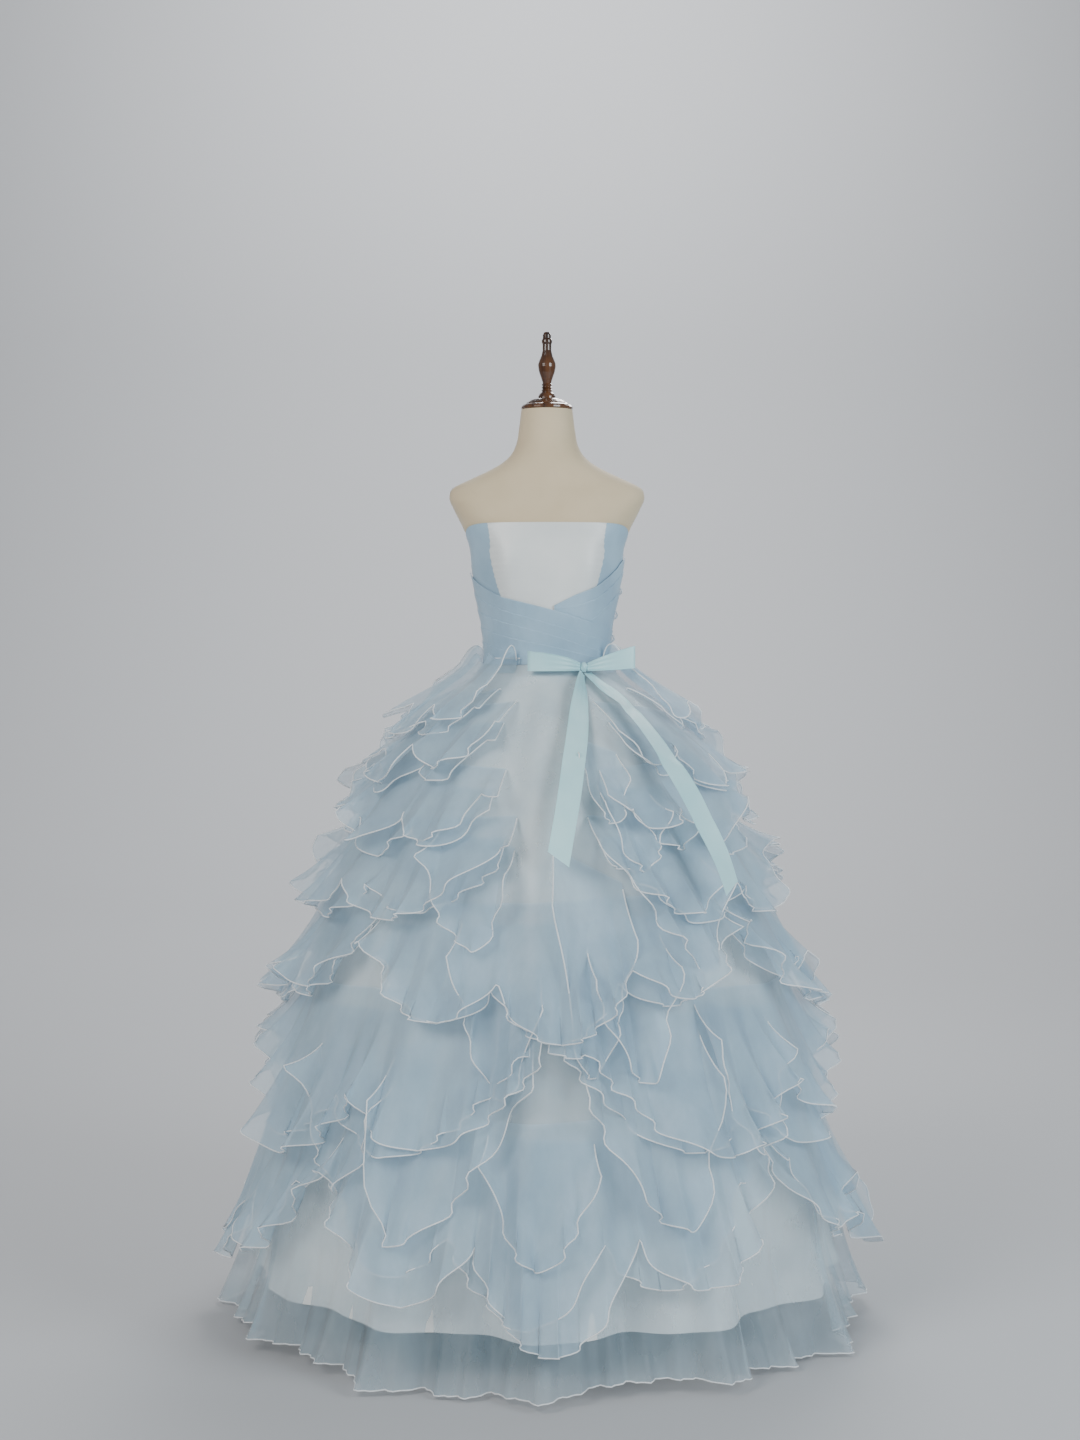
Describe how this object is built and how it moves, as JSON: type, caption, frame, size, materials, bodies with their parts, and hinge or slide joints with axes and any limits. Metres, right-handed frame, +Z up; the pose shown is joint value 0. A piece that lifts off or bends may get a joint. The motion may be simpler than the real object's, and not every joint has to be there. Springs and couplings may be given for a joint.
{
  "type": "ball gown on dress form",
  "caption": "Strapless ball gown with a pleated bodice, a ribbon bow and tiered organza flounces over a full skirt, on a limbless dress form with a turned wooden cap and a round stand.",
  "frame": {"origin": "centre of the stand base's underside, on the floor", "axes": "+Z up along the stand's pole; the gown's front faces -Y; +X is to the right as seen from the front"},
  "size_m": [1.3084, 1.3318, 1.8345],
  "materials": {
    "form_cover": "matte",
    "turned_wood": "gloss",
    "stand_steel": "satin",
    "white_satin": "satin",
    "blue_organza": "satin",
    "bodice_organza": "satin",
    "aqua_ribbon": "gloss"
  },
  "bodies": {
    "root": {"bodice_back_closure": "white_satin", "bodice_back_left": "bodice_organza", "bodice_back_right": "bodice_organza", "bodice_centre_front": "white_satin", "bodice_side_front_left": "bodice_organza", "bodice_side_front_right": "bodice_organza", "bow_knot": "aqua_ribbon", "bow_loop_left": "aqua_ribbon", "bow_loop_right": "aqua_ribbon", "bow_tail_left": "aqua_ribbon", "bow_tail_right": "aqua_ribbon", "finial": "turned_wood", "flounce_a1": "blue_organza", "flounce_a2": "blue_organza", "flounce_a3": "blue_organza", "flounce_a4": "blue_organza", "flounce_b1": "blue_organza", "flounce_b2": "blue_organza", "flounce_b3": "blue_organza", "flounce_b4": "blue_organza", "flounce_c1": "blue_organza", "flounce_c2": "blue_organza", "flounce_c3": "blue_organza", "flounce_c4": "blue_organza", "flounce_d1": "blue_organza", "flounce_d2": "blue_organza", "flounce_d3": "blue_organza", "flounce_d4": "blue_organza", "flounce_e1": "blue_organza", "flounce_e2": "blue_organza", "flounce_e3": "blue_organza", "flounce_e4": "blue_organza", "flounce_f1": "blue_organza", "flounce_f2": "blue_organza", "flounce_f3": "blue_organza", "flounce_f4": "blue_organza", "flounce_g1": "blue_organza", "flounce_g2": "blue_organza", "flounce_g3": "blue_organza", "flounce_g4": "blue_organza", "form_body": "form_cover", "neck_cap": "turned_wood", "overskirt": "blue_organza", "satin_underskirt": "white_satin", "side_frill": "blue_organza", "stand_base": "stand_steel", "stand_collar": "stand_steel", "stand_pole": "stand_steel", "waist_header_frill": "blue_organza", "wrap_left_pleat_1": "bodice_organza", "wrap_left_pleat_2": "bodice_organza", "wrap_left_pleat_3": "bodice_organza", "wrap_left_pleat_4": "bodice_organza", "wrap_left_pleat_5": "bodice_organza", "wrap_right_pleat_1": "bodice_organza", "wrap_right_pleat_2": "bodice_organza", "wrap_right_pleat_3": "bodice_organza"}
  },
  "joints": []
}
